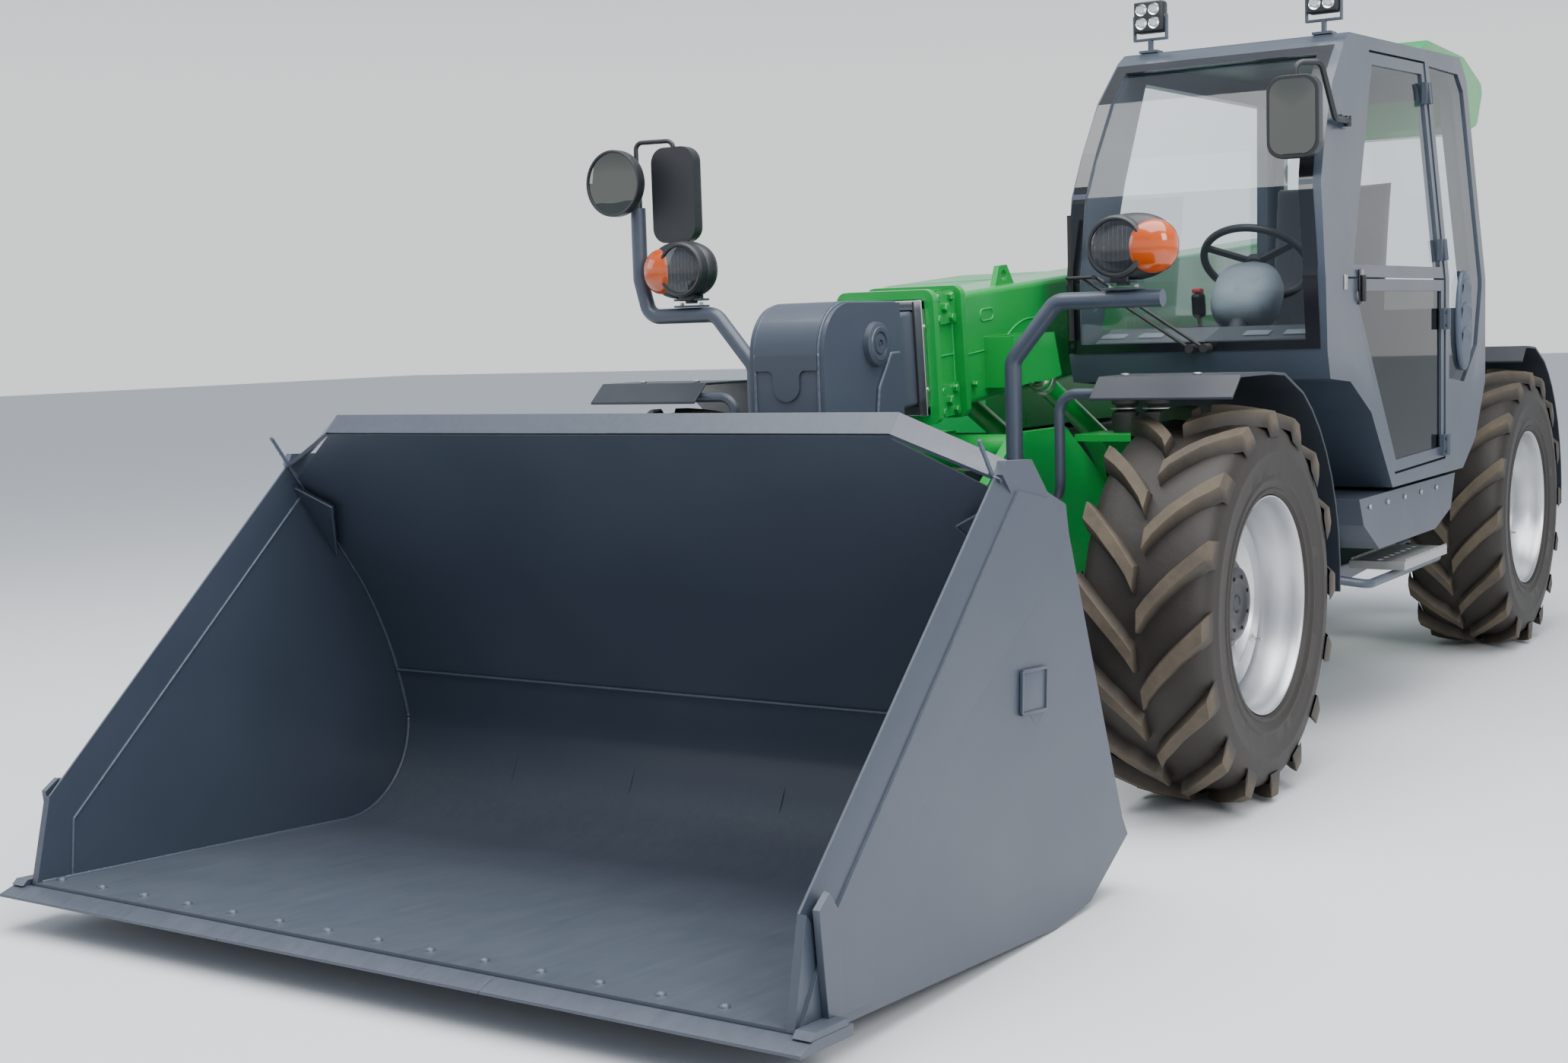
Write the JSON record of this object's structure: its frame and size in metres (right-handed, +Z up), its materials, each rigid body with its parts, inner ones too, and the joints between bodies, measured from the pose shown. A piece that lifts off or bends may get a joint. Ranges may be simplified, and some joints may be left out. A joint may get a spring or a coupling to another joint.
{
  "type": "telescopic handler with bucket",
  "caption": "Wheeled telescopic handler: cab beside a lifting, extending boom with a wide light-material bucket, four steered wheels, lamps and mirrors.",
  "frame": {"origin": "on the ground under the middle of the whole machine with its bucket level and down", "axes": "+Z up, -Y towards the bucket and the front, +X towards the machine's left side, where the cab is"},
  "size_m": [2.448, 6.829, 2.616],
  "materials": {
    "green_shell": "gloss moulded cover, bright green",
    "slate_paint": "satin, dark slate blue",
    "green_paint": "gloss, bright green",
    "black_paint": "satin, near black",
    "cab_paint": "satin, dark slate",
    "silver_paint": "metallic silver",
    "tyre_rubber": "ribbed, dusty",
    "clear_glass": "faintly blue",
    "dark_glass": "tinted",
    "black_plastic": "grained",
    "grey_plastic": "smooth blue grey",
    "interior_plastic": "fine grain",
    "seat_cloth": "woven",
    "rubber": "matt",
    "chrome": "polished",
    "galvanised": "galvanised",
    "zinc": "zinc plated",
    "wear_steel": "satin, scuffed",
    "iron": "painted"
  },
  "bodies": {
    "machine": {"chassis": "green_paint", "front_axle": "iron", "rear_axle": "iron", "rear_body": "cab_paint", "sill": "cab_paint", "step": "galvanised", "fenders": "black_plastic", "tube_arms": "black_paint", "body_bolts": "zinc", "cab_shell": "cab_paint", "cab_glass": "clear_glass", "vent_louvre": "grey_plastic", "roof_cap": "green_shell", "console": "interior_plastic", "rubber_mounts": "rubber"},
    "boom": {"boom_outer": "green_paint", "boom_collar": "green_paint", "boom_wiper": "chrome"},
    "boom_slide": {"boom_inner": "slate_paint", "boom_head": "slate_paint"},
    "bucket": {"hitch": "slate_paint", "bucket_shell": "slate_paint", "bucket_sides": "slate_paint", "bucket_lip": "slate_paint", "cutting_edge": "wear_steel", "edge_bolts": "wear_steel"},
    "lift_barrels": {"lift_barrel": "green_paint"},
    "lift_rods": {"lift_rod": "chrome"},
    "tilt_barrel_body": {"tilt_barrel": "black_paint"},
    "tilt_rod_body": {"tilt_rod": "chrome"},
    "hood": {"hood": "green_shell"},
    "door_lower": {"door_lower": "cab_paint", "door_glass_lower": "dark_glass"},
    "door_upper": {"door_upper": "cab_paint", "door_glass_upper": "clear_glass"},
    "wiper_arm": {"wiper_arm": "black_paint"},
    "wiper_link": {"wiper_link": "black_paint"},
    "wiper_blade": {"wiper_blade": "rubber"},
    "steering_wheel": {"steering_wheel": "black_plastic"},
    "seat": {"seat": "seat_cloth"},
    "joystick": {"joystick": "black_plastic"},
    "headlamp_left": {"headlamp_left": "black_plastic"},
    "headlamp_right": {"headlamp_right": "black_plastic"},
    "round_mirror": {"round_mirror": "black_plastic"},
    "arm_mirror": {"arm_mirror": "black_plastic"},
    "door_mirror": {"door_mirror": "black_plastic"},
    "work_lamp_left": {"work_lamp_left": "black_plastic"},
    "work_lamp_right": {"work_lamp_right": "black_plastic"},
    "knuckle_front_left": {"knuckle_front_left": "iron"},
    "wheel_front_left": {"tyre_front_left": "tyre_rubber", "rim_front_left": "silver_paint"},
    "knuckle_front_right": {"knuckle_front_right": "iron"},
    "wheel_front_right": {"tyre_front_right": "tyre_rubber", "rim_front_right": "silver_paint"},
    "knuckle_rear_left": {"knuckle_rear_left": "iron"},
    "wheel_rear_left": {"tyre_rear_left": "tyre_rubber", "rim_rear_left": "silver_paint"},
    "knuckle_rear_right": {"knuckle_rear_right": "iron"},
    "wheel_rear_right": {"tyre_rear_right": "tyre_rubber", "rim_rear_right": "silver_paint"}
  },
  "joints": [
    {"name": "boom_lift", "type": "hinge", "parent": "machine", "child": "boom", "pos_m": [0, 2.69449, 1.645], "axis": [-1, 0, 0], "range_deg": [0, 50]},
    {"name": "boom_extend", "type": "slide", "parent": "boom", "child": "boom_slide", "axis": [0, -0.9972, -0.075], "range_m": [0, 2.45]},
    {"name": "bucket_tilt", "type": "hinge", "parent": "boom_slide", "child": "bucket", "pos_m": [0, -1.42551, 0.3], "axis": [1, 0, 0], "range_deg": [-18, 75]},
    {"name": "lift_swing", "type": "hinge", "parent": "machine", "child": "lift_barrels", "pos_m": [0, 1.34449, 0.56], "axis": [-1, 0, 0], "range_deg": [0, 50.6]},
    {"name": "lift_stroke", "type": "slide", "parent": "lift_barrels", "child": "lift_rods", "axis": [0, -0.9059, 0.4235], "range_m": [0, 1.47]},
    {"name": "tilt_swing", "type": "hinge", "parent": "boom_slide", "child": "tilt_barrel_body", "pos_m": [0, -1.18551, 1.25], "axis": [1, 0, 0], "range_deg": [-1.2, 4.6]},
    {"name": "tilt_stroke", "type": "slide", "parent": "tilt_barrel_body", "child": "tilt_rod_body", "axis": [0, -0.5472, -0.837], "range_m": [-0.1, 0.41]},
    {"name": "steer_front_left", "type": "hinge", "parent": "machine", "child": "knuckle_front_left", "pos_m": [0.892, -0.70551, 0.605], "axis": [0, 0, 1], "range_deg": [-35, 35]},
    {"name": "spin_front_left", "type": "hinge", "parent": "knuckle_front_left", "child": "wheel_front_left", "pos_m": [1.006, -0.70551, 0.605], "axis": [1, 0, 0], "continuous": true},
    {"name": "steer_front_right", "type": "hinge", "parent": "machine", "child": "knuckle_front_right", "pos_m": [-0.892, -0.70551, 0.605], "axis": [0, 0, 1], "range_deg": [-35, 35]},
    {"name": "spin_front_right", "type": "hinge", "parent": "knuckle_front_right", "child": "wheel_front_right", "pos_m": [-1.006, -0.70551, 0.605], "axis": [1, 0, 0], "continuous": true},
    {"name": "steer_rear_left", "type": "hinge", "parent": "machine", "child": "knuckle_rear_left", "pos_m": [0.892, 2.5795, 0.605], "axis": [0, 0, 1], "range_deg": [-35, 35]},
    {"name": "spin_rear_left", "type": "hinge", "parent": "knuckle_rear_left", "child": "wheel_rear_left", "pos_m": [1.006, 2.5795, 0.605], "axis": [1, 0, 0], "continuous": true},
    {"name": "steer_rear_right", "type": "hinge", "parent": "machine", "child": "knuckle_rear_right", "pos_m": [-0.892, 2.5795, 0.605], "axis": [0, 0, 1], "range_deg": [-35, 35]},
    {"name": "spin_rear_right", "type": "hinge", "parent": "knuckle_rear_right", "child": "wheel_rear_right", "pos_m": [-1.006, 2.5795, 0.605], "axis": [1, 0, 0], "continuous": true},
    {"name": "hood_open", "type": "hinge", "parent": "machine", "child": "hood", "pos_m": [-0.3, 1.09449, 1.65], "axis": [0, 1, 0], "range_deg": [0, 50]},
    {"name": "door_open", "type": "hinge", "parent": "machine", "child": "door_lower", "pos_m": [1.181, 1.3075, 0.9], "axis": [0, 0, 1], "range_deg": [0, 85]},
    {"name": "door_window", "type": "hinge", "parent": "door_lower", "child": "door_upper", "pos_m": [1.181, 1.3075, 1.59], "axis": [-0.0967, 0, 0.9953], "range_deg": [0, 90]},
    {"name": "wiper_sweep", "type": "hinge", "parent": "machine", "child": "wiper_arm", "pos_m": [0.765, -0.1155, 1.372], "axis": [0, 1, 0], "range_deg": [0, 100]},
    {"name": "wiper_link_sweep", "type": "hinge", "parent": "machine", "child": "wiper_link", "pos_m": [0.715, -0.1155, 1.372], "axis": [0, 1, 0], "range_deg": [0, 100]},
    {"name": "wiper_blade_pivot", "type": "hinge", "parent": "wiper_arm", "child": "wiper_blade", "pos_m": [0.38, -0.1155, 1.622], "axis": [0, 1, 0], "range_deg": [-100, 0]},
    {"name": "steering_wheel_turn", "type": "hinge", "parent": "machine", "child": "steering_wheel", "pos_m": [0.7, 0.55649, 1.6645], "axis": [0, 0.6378, 0.7702], "continuous": true},
    {"name": "seat_slide", "type": "slide", "parent": "machine", "child": "seat", "axis": [0, 1, 0], "range_m": [-0.1, 0.1]},
    {"name": "joystick_tilt", "type": "hinge", "parent": "machine", "child": "joystick", "pos_m": [0.4, 0.7725, 1.397], "axis": [1, 0, 0], "range_deg": [-15, 15]},
    {"name": "headlamp_left_aim", "type": "hinge", "parent": "machine", "child": "headlamp_left", "pos_m": [0.845, -0.9675, 1.562], "axis": [0, 0, 1], "range_deg": [-15, 15]},
    {"name": "headlamp_right_aim", "type": "hinge", "parent": "machine", "child": "headlamp_right", "pos_m": [-0.724, -0.9675, 1.562], "axis": [0, 0, 1], "range_deg": [-10, 10]},
    {"name": "round_mirror_aim", "type": "hinge", "parent": "machine", "child": "round_mirror", "pos_m": [-0.935, -0.9675, 1.905], "axis": [0, 0, 1], "range_deg": [-20, 20]},
    {"name": "arm_mirror_aim", "type": "hinge", "parent": "machine", "child": "arm_mirror", "pos_m": [-0.935, -0.9675, 1.95], "axis": [0, 0, 1], "range_deg": [-25, 25]},
    {"name": "door_mirror_fold", "type": "hinge", "parent": "machine", "child": "door_mirror", "pos_m": [1.142, 0.21949, 2.11], "axis": [0, 0, 1], "range_deg": [-3, 60]},
    {"name": "work_lamp_left_aim", "type": "hinge", "parent": "machine", "child": "work_lamp_left", "pos_m": [0.99, 0.4425, 2.56], "axis": [1, 0, 0], "range_deg": [-20, 20]},
    {"name": "work_lamp_right_aim", "type": "hinge", "parent": "machine", "child": "work_lamp_right", "pos_m": [0.352, 0.4425, 2.56], "axis": [1, 0, 0], "range_deg": [-20, 20]}
  ],
  "couplings": [
    {"joint": "lift_swing", "follows": "boom_lift", "ratio": 1.0103},
    {"joint": "lift_stroke", "follows": "boom_lift", "m_per_rad": 1.6773},
    {"joint": "tilt_swing", "follows": "bucket_tilt", "ratio": 0.0587},
    {"joint": "tilt_stroke", "follows": "bucket_tilt", "m_per_rad": 0.3094},
    {"joint": "steer_front_right", "follows": "steer_front_left", "ratio": 1},
    {"joint": "steer_rear_left", "follows": "steer_front_left", "ratio": -1},
    {"joint": "steer_rear_right", "follows": "steer_front_left", "ratio": -1},
    {"joint": "wiper_link_sweep", "follows": "wiper_sweep", "ratio": 1},
    {"joint": "wiper_blade_pivot", "follows": "wiper_sweep", "ratio": -1}
  ]
}
